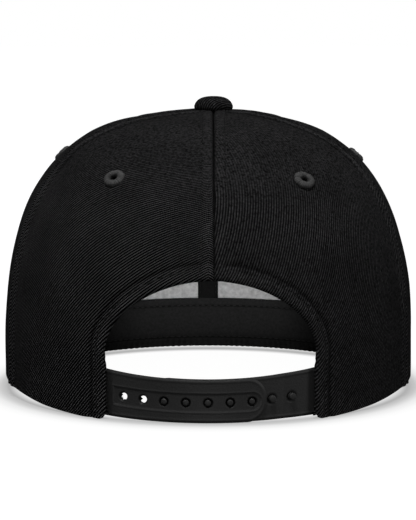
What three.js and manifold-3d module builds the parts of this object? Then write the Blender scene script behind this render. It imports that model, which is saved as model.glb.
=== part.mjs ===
// A six-panel snapback cap, resting on its back rim and its brim.
// Lengths are millimetres and angles degrees. +Z is up, the brim points to -Y, and +X is the wearer's left.
// A place on the crown is an angle round it, from 0 at the back through 90 at the wearer's left to
// 180 at the front, with a profile angle from 0 at the rim to 90 at the top, and a depth below the cloth.
import * as THREE from "three";
import { mergeVertices } from "three/addons/utils/BufferGeometryUtils.js";
import Module from "manifold-3d";

const wasm = await Module();
wasm.setup();

// Crown form
const crownHalfWidth = 88.9;
const crownReachBack = 101;
const crownReachFront = 101;
const crownHeight = 121;
const topRoundness = 2.365;
const sideFullness = 3.45;
const backFullness = 3.0;
const frontFullness = 4.2;
const seamDrift = 2.4; // the back seam and the button sit this far to the wearer's right
const sideSeamAngle = 71;
const frontSeamAngle = 126;
const apexHoleRadius = 3.2;

// Walls, from the outside inwards, with the gap that parts each piece from the next
const panelWall = 1.8;
const buckramWall = 1.0;
const tapeWall = 1.0;
const bandWall = 1.4;
const seatGap = 0.3;

// Arch over the strap
const archHalfWidth = 42.2;
const archTop = 57.2;
const archSpring = 27;
const archRoundness = 1.85;

// Brim
const brimHalfWidth = 92;
const brimReach = 70;
const brimWidestBehindTip = 96;
const brimThickness = 3;
const brimRootLift = 2.4;
const brimEndAngle = 105;
const brimSquareness = 2.6;
const brimEdgeSweep = 114; // angle from the tip to each end along the outer edge

// Seam tape, front linings and sweatband
const tapeWidth = 10;
const tapeTopRadius = 4;
const liningTopRadius = 13;
const liningRimClearance = 8;
const liningSeamClearance = 1;
const bandHeight = 22.4;
const bandFoot = 2;
const bandLean = 7;
const bandRimClearance = 0.5;
const bandEndClearance = 2;
const bandBrimBlend = 12; // angle over which its foot drops from the rim to the brim's underside

// Strap
const strapHeight = 17.5;
const strapWall = 1.2;
const strapClearance = 0.7; // room between the panels and the strap tucked behind them
const strapLift = 0.3;
const strapEndRise = 1.0;
const strapEndFlare = 1.6;
const strapTuck = 12;
const strapLap = 23.6; // each half runs this far past the middle
const strapEndRadius = 8;
const snapPitch = 8.8;
const snapCount = 7;
const snapsEngaged = 5;
const snapHeight = 8.2;
const snapEndRise = 1.9;
const snapHoleRadius = 1.7;
const snapPegRadius = 1.3;

// Eyelets and button
const eyeletOuterRadius = 3.75;
const eyeletBarrelRadius = 2.2;
const eyeletBoreRadius = 1.25;
const eyeletProud = 1.4;
const eyeletBackRadius = 3.25;
const eyeletBackWall = 0.6;
const eyeletPinReach = 8;
const buttonRadius = 8.25;
const buttonHeight = 6.6;
const buttonEdgeHeight = 2;
const buttonSeatRadius = 7.1;
const buttonRoundness = 0.75;
const buttonShankRadius = 2.4;
const buttonWasherRadius = 6.5;
const buttonWasherWall = 1.0;

// Fineness of the faceted surfaces
const panelColumns = 9;
const bandColumns = 44;
const brimColumns = 26;
const strapColumns = 26;
const rowStep = 6;
const firstRowHeight = 13;
const archSteps = 22;

// Share of the rim's full rise at angles round the crown: it lies flat at the back and lifts at the sides
const rimProfile = [
  { angle: 0, share: 0 },
  { angle: 35, share: 0 },
  { angle: 42, share: 0.13 },
  { angle: 50, share: 0.3 },
  { angle: 60, share: 0.58 },
  { angle: 70, share: 0.81 },
  { angle: 82, share: 0.97 },
  { angle: 95, share: 1 },
  { angle: 180, share: 1 },
];

// One eyelet to a panel, by its place on the crown
const eyeletPlaces = [
  { zone: "back", angle: 34, height: 95.5 },
  { zone: "side", angle: 99, height: 98 },
  { zone: "front", angle: 153, height: 98 },
];

// Colours as the cloth, lining and moulded strap show them
const twillCloth = { color: "#1b1b1c", roughness: 0.95, metalness: 0 };
const stitchedThread = { color: "#262627", roughness: 0.8, metalness: 0 };
const buckramCloth = { color: "#86868a", roughness: 0.95, metalness: 0 };
const tapeCloth = { color: "#151516", roughness: 0.9, metalness: 0 };
const bandCloth = { color: "#171718", roughness: 0.9, metalness: 0 };
const strapPlastic = { color: "#1e1d1c", roughness: 0.45, metalness: 0 };

const { lerp, smoothstep, degToRad: radians, radToDeg: degrees } = THREE.MathUtils;
const cap = new THREE.Group();

function addMesh(name, geometry, finish) {
  const mesh = new THREE.Mesh(geometry, new THREE.MeshStandardMaterial(finish));
  mesh.name = name;
  cap.add(mesh);
  return mesh;
}

// Joining and cutting

function toSolid(geometry) {
  const bare = geometry.index ? geometry.toNonIndexed() : geometry.clone();
  bare.deleteAttribute("normal");
  bare.deleteAttribute("uv");
  const merged = mergeVertices(bare, 1e-4);
  return new wasm.Manifold(
    new wasm.Mesh({
      numProp: 3,
      vertProperties: new Float32Array(merged.attributes.position.array),
      triVerts: new Uint32Array(merged.index.array),
    }),
  );
}

function toGeometry(solid) {
  const mesh = solid.getMesh();
  const geometry = new THREE.BufferGeometry();
  geometry.setAttribute("position", new THREE.BufferAttribute(mesh.vertProperties, 3));
  geometry.setIndex(new THREE.BufferAttribute(mesh.triVerts, 1));
  geometry.computeVertexNormals();
  return geometry;
}

function cut(geometry, cutters) {
  return toGeometry(cutters.reduce((solid, cutter) => solid.subtract(toSolid(cutter)), toSolid(geometry)));
}

function join(geometry, additions) {
  return toGeometry(additions.reduce((solid, addition) => solid.add(toSolid(addition)), toSolid(geometry)));
}

// A closed wall between an outer and an inner grid of points, grid[row][column].
// Columns crossed with rows point into the wall.
function wallBetween(outer, inner) {
  const rows = outer.length;
  const columns = outer[0].length;
  const index = [];
  const at = (side, row, column) => (side * rows + row) * columns + column;
  const quad = (a, b, c, d) => index.push(a, b, c, a, c, d);
  for (let row = 0; row < rows - 1; row++) {
    for (let column = 0; column < columns - 1; column++) {
      quad(at(0, row, column), at(0, row + 1, column), at(0, row + 1, column + 1), at(0, row, column + 1));
      quad(at(1, row, column), at(1, row, column + 1), at(1, row + 1, column + 1), at(1, row + 1, column));
    }
    const last = columns - 1;
    quad(at(0, row, 0), at(1, row, 0), at(1, row + 1, 0), at(0, row + 1, 0));
    quad(at(0, row, last), at(0, row + 1, last), at(1, row + 1, last), at(1, row, last));
  }
  for (let column = 0; column < columns - 1; column++) {
    const last = rows - 1;
    quad(at(0, 0, column), at(0, 0, column + 1), at(1, 0, column + 1), at(1, 0, column));
    quad(at(0, last, column), at(1, last, column), at(1, last, column + 1), at(0, last, column + 1));
  }
  const points = [outer, inner].flat(2);
  const geometry = new THREE.BufferGeometry().setFromPoints(points);
  geometry.setIndex(index);
  geometry.computeVertexNormals();
  return geometry;
}

// Crown surface

const profileAngleAt = (height) => degrees(Math.asin((height / crownHeight) ** (sideFullness / 2)));
const heightAt = (profile) => crownHeight * Math.sin(radians(profile)) ** (2 / sideFullness);
const spreadAt = (height, fullness) => (1 - (height / crownHeight) ** fullness) ** (1 / topRoundness);

function outerPoint(angle, profile) {
  const height = heightAt(profile);
  const across = spreadAt(height, sideFullness);
  const facesBack = Math.cos(radians(angle)) >= 0;
  const reach = facesBack ? crownReachBack : crownReachFront;
  const along = spreadAt(height, facesBack ? backFullness : frontFullness);
  return new THREE.Vector3(
    crownHalfWidth * across * Math.sin(radians(angle)) - seamDrift * (1 - across),
    reach * along * Math.cos(radians(angle)),
    height,
  );
}

// Change of the surface point for one degree round the crown, and for one degree up its profile
const stepRound = (angle, profile) =>
  outerPoint(angle + 0.5, profile).sub(outerPoint(angle - 0.5, profile));

function stepUp(angle, profile) {
  const low = Math.max(profile - 0.05, 0);
  return outerPoint(angle, low + 0.1).sub(outerPoint(angle, low));
}

const outward = (angle, profile) => stepUp(angle, profile).cross(stepRound(angle, profile)).normalize();

function crownPoint(angle, profile, depth = 0) {
  return outerPoint(angle, profile).addScaledVector(outward(angle, profile), -depth);
}

// Angle that a length along the surface spans
const spanAngle = (angle, profile, length) => length / stepRound(angle, profile).length();

const profileAtRadius = (radius) =>
  degrees(Math.acos((radius / crownHalfWidth) ** (topRoundness / 2)));

// Profile angles that every wall shares, so that walls lie one inside the next
function sharedRows(top) {
  const rows = [profileAngleAt(firstRowHeight)];
  for (let profile = rowStep; profile < top - rowStep / 3; profile += rowStep) rows.push(profile);
  rows.push(top);
  return rows;
}

// Brim surface: a sheet tilted down to the tip and cambered down to both sides

const rimPlan = (angle, depth = 0) => crownPoint(angle, 0, depth);

function brimEdgePlan(share) {
  const sweep = radians(brimEdgeSweep * share);
  const squared = (value) => Math.sign(value) * Math.abs(value) ** (2 / brimSquareness);
  const widest = -(crownReachFront + brimReach) + brimWidestBehindTip;
  return new THREE.Vector3(
    brimHalfWidth * squared(Math.sin(sweep)),
    widest - brimWidestBehindTip * squared(Math.cos(sweep)),
    0,
  );
}

// Camber that keeps the root's ends level with its middle, for one unit of tilt
const rootEnd = rimPlan(brimEndAngle);
const camberPerTilt = (rootEnd.y + crownReachFront) / rootEnd.x ** 2;
const fallPerTilt = (x, y) => camberPerTilt * x ** 2 - (y + crownReachFront);

// Tilt that lays the lowest point of the outer edge on the table
const edgeFalls = Array.from({ length: brimColumns + 1 }, (_, column) => {
  const edge = brimEdgePlan((2 * column) / brimColumns - 1);
  return fallPerTilt(edge.x, edge.y);
});
const brimTilt = brimRootLift / Math.max(...edgeFalls);
const brimUnderside = (x, y) => brimRootLift - brimTilt * fallPerTilt(x, y);

// Rim height round the crown: along the brim it stands on the brim

function rimHeight(angle) {
  const turned = Math.abs(((angle + 540) % 360) - 180);
  if (turned > brimEndAngle) {
    const root = rimPlan(turned);
    return brimUnderside(root.x, root.y) + brimThickness + seatGap;
  }
  const after = rimProfile.findIndex((row) => row.angle >= turned);
  const to = rimProfile[Math.max(after, 1)];
  const from = rimProfile[Math.max(after, 1) - 1];
  const share = THREE.MathUtils.mapLinear(turned, from.angle, to.angle, from.share, to.share);
  return share * (brimRootLift + brimThickness + seatGap);
}

// A wall of the crown between two angles, from a clearance above the rim to a top row

function crownWall({ from, to, top, depth, thickness, rimClearance = 0, sideGap = seatGap / 2 }) {
  const grid = (wallDepth) => {
    const row = (profileOf) =>
      Array.from({ length: panelColumns + 1 }, (_, column) => {
        const share = column / panelColumns;
        const profile = profileOf(lerp(from, to, share));
        const start = from + spanAngle(from, profile, sideGap);
        const end = to - spanAngle(to, profile, sideGap);
        return crownPoint(lerp(start, end, share), profile, wallDepth);
      });
    const foot = row((angle) => profileAngleAt(rimHeight(angle) + rimClearance));
    const above = sharedRows(top).filter((profile) => heightAt(profile) > rimClearance + firstRowHeight / 2);
    return [foot, ...above.map((profile) => row(() => profile))];
  };
  return wallBetween(grid(depth), grid(depth + thickness));
}

// Arch cutter: an upright doorway with a rounded head, pushed through the back of the crown

function archCutter() {
  const shape = new THREE.Shape();
  shape.moveTo(-archHalfWidth, -archSpring);
  for (let step = 0; step <= archSteps; step++) {
    const turn = Math.PI * (1 - step / archSteps);
    const across = Math.sign(Math.cos(turn)) * Math.abs(Math.cos(turn)) ** (2 / archRoundness);
    const up = Math.abs(Math.sin(turn)) ** (2 / archRoundness);
    shape.lineTo(archHalfWidth * across, archSpring + (archTop - archSpring) * up);
  }
  shape.lineTo(archHalfWidth, -archSpring);
  const cutter = new THREE.ExtrudeGeometry(shape, { depth: crownReachBack, bevelEnabled: false });
  cutter.rotateX(Math.PI / 2);
  return cutter.translate(0, crownReachBack * 1.5, 0);
}

// A round pin through the crown wall, for the hole that an eyelet goes through

function pinThrough(angle, profile, radius) {
  const pin = new THREE.CylinderGeometry(radius, radius, 2 * eyeletPinReach, 14);
  const turn = new THREE.Quaternion().setFromUnitVectors(new THREE.Vector3(0, 1, 0), outward(angle, profile));
  pin.applyQuaternion(turn);
  const centre = crownPoint(angle, profile);
  return pin.translate(centre.x, centre.y, centre.z);
}

// Panels, front linings and eyelets, for one side of the head

const backSeamAngle = -degrees(Math.asin(seamDrift / crownHalfWidth));
const eyeletHoleRadius = eyeletBarrelRadius + seatGap;
const tapeDepthBack = panelWall + seatGap;
const tapeDepthFront = tapeDepthBack + buckramWall + seatGap;
const bandDepth = tapeDepthFront + tapeWall + seatGap;

function eyelet(name, angle, profile, wallBehind) {
  const back = -(wallBehind + 1.5 * seatGap);
  const crest = (eyeletBoreRadius + eyeletOuterRadius) / 2;
  const outline = [
    [eyeletBoreRadius, back - eyeletBackWall],
    [eyeletBackRadius, back - eyeletBackWall],
    [eyeletBackRadius, back],
    [eyeletBarrelRadius, back],
    [eyeletBarrelRadius, seatGap],
    [eyeletOuterRadius, seatGap],
    [crest, eyeletProud],
    [eyeletBoreRadius, eyeletProud / 2],
    [eyeletBoreRadius, back - eyeletBackWall],
  ];
  const geometry = new THREE.LatheGeometry(outline.map(([x, y]) => new THREE.Vector2(x, y)), 12);
  const mesh = addMesh(name, geometry, stitchedThread);
  mesh.position.copy(crownPoint(angle, profile));
  mesh.quaternion.setFromUnitVectors(new THREE.Vector3(0, 1, 0), outward(angle, profile));
}

function crownSide(side, sign) {
  const zones = [
    { zone: "back", near: sign * backSeamAngle, far: sideSeamAngle },
    { zone: "side", near: sideSeamAngle, far: frontSeamAngle },
    { zone: "front", near: frontSeamAngle, far: 180 },
  ];
  for (const { zone, near, far } of zones) {
    const ends = [sign * near, sign * far].sort((a, b) => a - b);
    const place = eyeletPlaces.find((row) => row.zone === zone);
    const angle = sign * place.angle;
    const profile = profileAngleAt(place.height);
    const holes = [pinThrough(angle, profile, eyeletHoleRadius)];
    const panel = crownWall({
      from: ends[0],
      to: ends[1],
      top: profileAtRadius(apexHoleRadius),
      depth: 0,
      thickness: panelWall,
    });
    const cutters = zone === "back" ? [...holes, archCutter()] : holes;
    addMesh(zone + "_panel_" + side, cut(panel, cutters), twillCloth);
    let wallBehind = panelWall;
    if (zone === "front") {
      wallBehind = tapeDepthBack + buckramWall;
      const lining = crownWall({
        from: ends[0],
        to: ends[1],
          top: profileAtRadius(liningTopRadius),
        depth: tapeDepthBack,
        thickness: buckramWall,
        rimClearance: liningRimClearance,
        sideGap: liningSeamClearance,
      });
      addMesh("front_lining_" + side, cut(lining, holes), buckramCloth);
    }
    eyelet("eyelet_" + zone + "_" + side, angle, profile, wallBehind);
  }
}

// Seam tapes: each narrows towards the top so that the six meet without lapping

function seamTape(name, seam, neighbourSpan, depth, footHeight) {
  const top = profileAtRadius(tapeTopRadius);
  const rows = sharedRows(top).filter((row) => heightAt(row) > footHeight + firstRowHeight / 3);
  const profiles = [profileAngleAt(footHeight), ...rows];
  const grid = (wallDepth) =>
    profiles.map((profile) => {
      const room = neighbourSpan / 2 - spanAngle(seam, profile, seatGap);
      const half = Math.min(spanAngle(seam, profile, tapeWidth / 2), room);
      return [-1, 0, 1].map((side) => crownPoint(seam + side * half, profile, wallDepth));
    });
  addMesh(name, wallBetween(grid(depth), grid(depth + tapeWall)), tapeCloth);
}

function addSeamTapes() {
  const frontSpan = 180 - frontSeamAngle;
  const sideSpan = Math.min(frontSeamAngle - sideSeamAngle, sideSeamAngle + backSeamAngle);
  const frontSideSpan = Math.min(frontSpan, frontSeamAngle - sideSeamAngle);
  const foot = (angle) => rimHeight(angle) + liningRimClearance;
  seamTape("seam_tape_front_centre", 180, frontSpan, tapeDepthFront, foot(180));
  seamTape("seam_tape_back_centre", backSeamAngle, sideSeamAngle, tapeDepthBack, archTop + seatGap);
  for (const [side, sign] of [["left", 1], ["right", -1]]) {
    const front = sign * frontSeamAngle;
    const back = sign * sideSeamAngle;
    seamTape("seam_tape_front_" + side, front, frontSideSpan, tapeDepthFront, foot(front));
    seamTape("seam_tape_back_" + side, back, sideSpan, tapeDepthBack, foot(back));
  }
}

// Angle reached by a length along the rim line, from the middle of the back

function angleAtArc(length, depth) {
  const stride = 0.25;
  let angle = 0;
  let travelled = 0;
  while (travelled < Math.abs(length)) {
    travelled += rimPlan(angle + stride, depth).distanceTo(rimPlan(angle, depth));
    angle += stride;
  }
  const lastStride = rimPlan(angle, depth).distanceTo(rimPlan(angle - stride, depth));
  return Math.sign(length) * (angle - (stride * (travelled - Math.abs(length))) / lastStride);
}

// Sweatband: sewn to the rim at its foot, it leans in and stands clear of the linings and tapes

const archHalfArc = (() => {
  const archAngle = degrees(Math.asin(archHalfWidth / crownHalfWidth));
  let length = 0;
  for (let angle = 0; angle < archAngle; angle++) {
    length += rimPlan(Math.min(angle + 1, archAngle)).distanceTo(rimPlan(angle));
  }
  return length;
})();
const strapEndArc = archHalfArc + strapTuck;

function addSweatband() {
  const start = angleAtArc(strapEndArc + bandEndClearance, panelWall);
  const layers = [
    { rise: 0, lean: 0 },
    { rise: bandFoot, lean: 0 },
    { rise: bandLean, lean: 1 },
    { rise: bandHeight, lean: 1 },
  ];
  const grid = (extraDepth) =>
    layers.map(({ rise, lean }) =>
      Array.from({ length: bandColumns + 1 }, (_, column) => {
        const angle = lerp(start, 360 - start, column / bandColumns);
        const turned = Math.min(angle, 360 - angle);
        const root = rimPlan(turned);
        const besideBrim = smoothstep(turned, brimEndAngle - bandBrimBlend, brimEndAngle + bandBrimBlend / 2);
        const onRim = rimHeight(turned) + bandRimClearance;
        const foot = lerp(onRim, brimUnderside(root.x, root.y), besideBrim);
        const depth = lerp(panelWall + seatGap, bandDepth, lean);
        return crownPoint(angle, profileAngleAt(foot + rise), depth + extraDepth);
      }),
    );
  addMesh("sweatband", wallBetween(grid(0), grid(bandWall)), bandCloth);
}

// Brim: a thin board from under the crown's rim to its rounded outer edge

function addBrim() {
  const layers = [
    { share: 1, worn: 0.35 },
    { share: 0.985, worn: 0.1 },
    { share: 0.66, worn: 0 },
    { share: 0.33, worn: 0 },
    { share: 0, worn: 0 },
  ];
  const grid = (isTop) =>
    layers.map(({ share, worn }) =>
      Array.from({ length: brimColumns + 1 }, (_, column) => {
        const across = (2 * column) / brimColumns - 1;
        const root = rimPlan(180 + (180 - brimEndAngle) * across, panelWall);
        const place = root.lerp(brimEdgePlan(-across), share);
        const under = brimUnderside(place.x, place.y);
        place.z = under + (isTop ? brimThickness * (1 - worn) : 0);
        return place;
      }),
    );
  addMesh("brim", wallBetween(grid(true), grid(false)), twillCloth);
}

// Strap: two moulded halves that lap at the middle, one pierced and one with pegs

const strapBow = (arc) => (arc / archHalfArc) ** 2;
const strapFoot = (arc) => strapLift + strapEndRise * strapBow(arc);
const strapHead = (arc) => strapLift + strapHeight + (strapEndRise + strapEndFlare) * strapBow(arc);
const snapArc = (snap) => snapPitch * (snap - (snapsEngaged - 1) / 2);
const snapLevel = (arc) => snapHeight + snapEndRise * strapBow(arc);
const strapDepth = panelWall + strapClearance;
const pegStrapDepth = strapDepth + strapWall + seatGap;

function strapHalf(sign, depthAt) {
  const arcs = Array.from({ length: strapColumns + 1 }, (_, column) => {
    const eased = Math.sin((Math.PI / 2) * (column / strapColumns));
    return sign * lerp(strapEndArc, -strapLap, eased);
  });
  if (sign > 0) arcs.reverse();
  const grid = (extraDepth) =>
    [0, 0.5, 1].map((level) =>
      arcs.map((arc) => {
        const past = Math.max(0, strapEndRadius - (strapLap + sign * arc));
        const corner = strapEndRadius - Math.sqrt(Math.max(strapEndRadius ** 2 - past ** 2, 1));
        const depth = depthAt(arc) + extraDepth;
        const point = rimPlan(angleAtArc(arc, depth), depth);
        point.z = lerp(strapFoot(arc) + corner, strapHead(arc) - corner, level);
        return point;
      }),
    );
  return wallBetween(grid(0), grid(strapWall));
}

function snapPin(arc, depth, radius, length) {
  const angle = angleAtArc(arc, depth);
  const axis = outward(angle, 0);
  const pin = new THREE.CylinderGeometry(radius, radius, length, 12);
  pin.applyQuaternion(new THREE.Quaternion().setFromUnitVectors(new THREE.Vector3(0, 1, 0), axis));
  const foot = rimPlan(angle, depth).addScaledVector(axis, length / 2);
  return pin.translate(foot.x, foot.y, snapLevel(arc));
}

function addStrap() {
  const snaps = Array.from({ length: snapCount }, (_, snap) => snapArc(snap));
  const holes = snaps.map((arc) => snapPin(arc, strapDepth + 3 * strapWall, snapHoleRadius, 6 * strapWall));
  const pierced = strapHalf(1, () => strapDepth);
  addMesh("strap_with_holes", cut(pierced, holes), strapPlastic);

  const pegs = snaps.map((arc) =>
    snapPin(-arc, pegStrapDepth + strapWall / 2, snapPegRadius, strapWall / 2 + seatGap + strapWall * 0.8),
  );
  const pegged = strapHalf(-1, (arc) =>
    lerp(pegStrapDepth, strapDepth, smoothstep(-arc, strapLap + strapEndRadius, archHalfArc)),
  );
  addMesh("strap_with_pegs", join(pegged, pegs), strapPlastic);
}

// Button: a squashed dome on a shank, with a washer inside the crown

function addButton() {
  const washerTop = -(tapeDepthFront + tapeWall + seatGap);
  const dome = Array.from({ length: 7 }, (_, step) => {
    const turn = radians(15 * step);
    return [
      buttonRadius * Math.cos(turn) ** buttonRoundness,
      seatGap + lerp(buttonEdgeHeight, buttonHeight, Math.sin(turn)),
    ];
  });
  const outline = [
    [0, washerTop - buttonWasherWall],
    [buttonWasherRadius, washerTop - buttonWasherWall],
    [buttonWasherRadius, washerTop],
    [buttonShankRadius, washerTop],
    [buttonShankRadius, seatGap],
    [buttonSeatRadius, seatGap],
    ...dome.slice(0, -1),
    [0, seatGap + buttonHeight],
  ];
  const geometry = new THREE.LatheGeometry(outline.map(([x, y]) => new THREE.Vector2(x, y)), 20);
  const mesh = addMesh("top_button", geometry, twillCloth);
  mesh.rotation.x = Math.PI / 2;
  mesh.position.set(-seamDrift, 0, crownHeight);
}

crownSide("left", 1);
crownSide("right", -1);
addSeamTapes();
addSweatband();
addBrim();
addStrap();
addButton();

// The origin is the middle of the footprint, on the table
const bounds = new THREE.Box3().setFromObject(cap, true);
const middle = bounds.getCenter(new THREE.Vector3());
cap.position.set(-middle.x, -middle.y, -bounds.min.z);

export default cap;
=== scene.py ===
# %% [markdown]
# A snapback cap in black twill, dressed over its construction model.
# The construction model holds every piece at its real size: six crown panels, eyelets, a top button,
# a brim, a sweatband, two grey front linings, seam tapes and the two halves of the snap strap.
# Each cell below replaces some of those plain solids by the piece as it is sewn or moulded.
# Everything is worked out in millimetres and turned into metres when a mesh is written.

# %% Load the construction model
import math

import bpy
import numpy as np
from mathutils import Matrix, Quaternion, Vector


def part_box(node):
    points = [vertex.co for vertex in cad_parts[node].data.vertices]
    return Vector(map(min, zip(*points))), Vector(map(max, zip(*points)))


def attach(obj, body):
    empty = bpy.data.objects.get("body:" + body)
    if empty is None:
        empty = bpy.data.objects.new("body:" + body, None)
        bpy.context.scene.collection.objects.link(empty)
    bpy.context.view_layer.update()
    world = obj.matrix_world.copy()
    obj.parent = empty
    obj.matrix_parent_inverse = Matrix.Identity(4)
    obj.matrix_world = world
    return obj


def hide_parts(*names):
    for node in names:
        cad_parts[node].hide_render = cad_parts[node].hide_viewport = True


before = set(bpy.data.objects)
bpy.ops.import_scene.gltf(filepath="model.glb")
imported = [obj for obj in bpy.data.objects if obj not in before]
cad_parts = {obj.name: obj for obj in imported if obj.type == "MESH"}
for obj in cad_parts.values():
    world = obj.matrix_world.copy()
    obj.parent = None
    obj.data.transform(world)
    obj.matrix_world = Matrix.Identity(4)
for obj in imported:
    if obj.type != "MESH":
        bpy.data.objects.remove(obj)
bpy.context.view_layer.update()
MM = 0.001
SIDES = {"left": 1, "right": -1}
ZONES = ("back", "side", "front")

# %% [markdown]
# The crown is one rounded form, and every sewn piece lies on it at some depth below its outer face.
# A place on it has two angles: one round the head, 0 at the back and 180 at the front, and one up the
# profile, 0 at the rim and 90 at the top. The frame gives the form's width, length and height, and the
# fullness numbers say how square the side, back and front profiles are.

# %% Read the crown's size from the frame
button_low, button_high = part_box("top_button")
button_centre = (button_low + button_high) / 2 / MM
CROWN_Y = button_centre.y
SEAM_DRIFT = -button_centre.x
HALF_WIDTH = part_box("side_panel_left")[1].x / MM
REACH = CROWN_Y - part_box("front_panel_left")[0].y / MM
CROWN_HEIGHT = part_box("back_panel_left")[1].z / MM
SIDE_FULLNESS, BACK_FULLNESS, FRONT_FULLNESS = 3.45, 3.0, 4.2
TOP_ROUNDNESS = 2.365
SIDE_SEAM, FRONT_SEAM = 71.0, 126.0
BACK_SEAM = -math.degrees(math.asin(SEAM_DRIFT / HALF_WIDTH))
print(f"crown {2 * HALF_WIDTH:.1f} wide, {2 * REACH:.1f} long, {CROWN_HEIGHT:.1f} high, seams drift {SEAM_DRIFT:.1f}")


# %% The crown's surface as a function
SAG_ACROSS = [-80, -59, -50, -36, 0, 18, 26, 36, 44, 51, 58, 66, 80]
SAG_HEIGHTS = [-0.6, -0.7, -0.5, -1.1, -1.2, -1.1, -0.7, 0.1, 0.6, 0.95, 0.7, 0.2, 0]
LEAN_LEVELS = [0, 15, 30, 45, 55, 66, 80, 95, 121]
LEAN_OUT = [0, 0.2, 0.45, 0.25, -0.15, -0.6, -0.5, -0.2, 0]
SEAM_SWING = 5.0  # how far the side seams swing back on their way up to the button, in degrees


def skin(angle, profile, seam_swing=SEAM_SWING):
    height = CROWN_HEIGHT * np.sin(np.radians(profile)) ** (2 / SIDE_FULLNESS)
    level = np.clip(height / CROWN_HEIGHT, 0, 1)
    high = np.clip((height - 102) / 16, 0, 1)
    facing = (np.asarray(angle, float) + 180) % 360 - 180
    swing = seam_swing * high**2 * (3 - 2 * high) * np.interp(np.abs(facing), [0, SIDE_SEAM, FRONT_SEAM], [0, 1, 0])
    turn = np.radians(facing - np.sign(facing) * swing)
    across = (1 - level**SIDE_FULLNESS) ** (1 / TOP_ROUNDNESS)
    fullness = np.where(np.cos(turn) >= 0, BACK_FULLNESS, FRONT_FULLNESS)
    along = (1 - level**fullness) ** (1 / TOP_ROUNDNESS)
    x = HALF_WIDTH * across * np.sin(turn) - SEAM_DRIFT * (1 - across)
    y = CROWN_Y + REACH * along * np.cos(turn)
    topward = np.clip((height - 76) / 34, 0, 1)
    sag = np.interp(x, SAG_ACROSS, SAG_HEIGHTS) * topward**2 * (3 - 2 * topward)
    lean = np.interp(height, LEAN_LEVELS, LEAN_OUT) * np.clip(-np.sin(turn), 0, 1) ** 3
    return np.stack([x - lean, y, height + sag + 0 * turn], axis=-1)


def outward(angle, profile):
    up = skin(angle, profile + 0.05) - skin(angle, np.maximum(profile - 0.05, 0))
    round_head = skin(angle + 0.5, profile) - skin(angle - 0.5, profile)
    normal = np.cross(up, round_head)
    return normal / np.linalg.norm(normal, axis=-1, keepdims=True)


def on_crown(angle, profile, lift=0.0):
    angle, profile = np.broadcast_arrays(np.asarray(angle, float), np.asarray(profile, float))
    lift = np.broadcast_to(np.asarray(lift, float), angle.shape)
    return skin(angle, profile) + outward(angle, profile) * lift[..., None]


def profile_at(height):
    return np.degrees(np.arcsin(np.clip(height / CROWN_HEIGHT, 0, 1) ** (SIDE_FULLNESS / 2)))


def per_degree(angle, profile, swing=SEAM_SWING):
    return np.linalg.norm(skin(angle + 0.5, profile, swing) - skin(angle - 0.5, profile, swing), axis=-1)


print("button seat", np.round(on_crown(0.0, 89.0), 1), "side at mid height", np.round(on_crown(90.0, profile_at(60.0)), 1))

# %% [markdown]
# Cloth is measured along itself, not by angles. This table turns the profile angle into the length up
# the cloth from the table, so that rows, ribs and stitches can be set out in millimetres.

# %% Length up the profile
PROFILE_STEPS = np.concatenate([np.linspace(0, 4, 80, endpoint=False), np.linspace(4, 89.4, 700)])
MERIDIANS = {zone: angle for zone, angle in zip(ZONES, (35.0, 98.5, 153.0))}
rise_tables = {}
for zone, angle in MERIDIANS.items():
    line = skin(np.full(PROFILE_STEPS.shape, angle), PROFILE_STEPS)
    rise_tables[zone] = np.concatenate([[0], np.cumsum(np.linalg.norm(np.diff(line, axis=0), axis=1))])


def rise_of(profile, zone="back"):
    return np.interp(profile, PROFILE_STEPS, rise_tables[zone])


def profile_of(rise, zone="back"):
    return np.interp(rise, rise_tables[zone], PROFILE_STEPS)


print("cloth from rim to button:", {zone: round(float(table[-1]), 1) for zone, table in rise_tables.items()})

# %% [markdown]
# The rim lies flat on the table at the back and lifts at the sides, where the brim holds the cap up.
# The brim is a board tilted and cambered a little, so that it meets the rim all along its root.

# %% Rim and brim lines
RIM_ANGLES = [0, 35, 42, 50, 60, 70, 82, 95, 180]
RIM_SHARES = [0, 0, 0.13, 0.3, 0.58, 0.81, 0.97, 1, 1]
SEAT_GAP = 0.3
BRIM_THICK = 3.0
BRIM_ROOT_LIFT = 2.4
BRIM_END = 105.0
BRIM_HALF_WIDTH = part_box("brim")[1].x / MM
BRIM_REACH = CROWN_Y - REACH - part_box("brim")[0].y / MM
BRIM_BEHIND_TIP, BRIM_SQUARE, BRIM_SWEEP = 96.0, 2.6, 114.0


def brim_edge(share):
    sweep = np.radians(BRIM_SWEEP * np.asarray(share, float))
    x = np.sign(np.sin(sweep)) * np.abs(np.sin(sweep)) ** (2 / BRIM_SQUARE)
    y = np.sign(np.cos(sweep)) * np.abs(np.cos(sweep)) ** (2 / BRIM_SQUARE)
    tip = CROWN_Y - REACH - BRIM_REACH
    return np.stack([BRIM_HALF_WIDTH * x, tip + BRIM_BEHIND_TIP * (1 - y)], axis=-1)


root_end = skin(np.array(BRIM_END), np.array(0.0))
CAMBER = (root_end[1] - CROWN_Y + REACH) / root_end[0] ** 2


def brim_fall(x, y):
    return CAMBER * x**2 - (y - CROWN_Y + REACH)


edge_line = brim_edge(np.linspace(-1, 1, 301))
BRIM_TILT = BRIM_ROOT_LIFT / brim_fall(edge_line[:, 0], edge_line[:, 1]).max()


def under_brim(x, y):
    return BRIM_ROOT_LIFT - BRIM_TILT * brim_fall(x, y)


def rim_height(angle):
    turned = np.abs((np.asarray(angle, float) + 540) % 360 - 180)
    root = skin(turned, np.zeros_like(turned))
    full = BRIM_ROOT_LIFT + BRIM_THICK + SEAT_GAP
    behind = full * np.interp(turned, RIM_ANGLES, RIM_SHARES)
    on_brim = under_brim(root[..., 0], root[..., 1]) + BRIM_THICK + SEAT_GAP
    return np.where(turned > BRIM_END, on_brim, behind)


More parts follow.
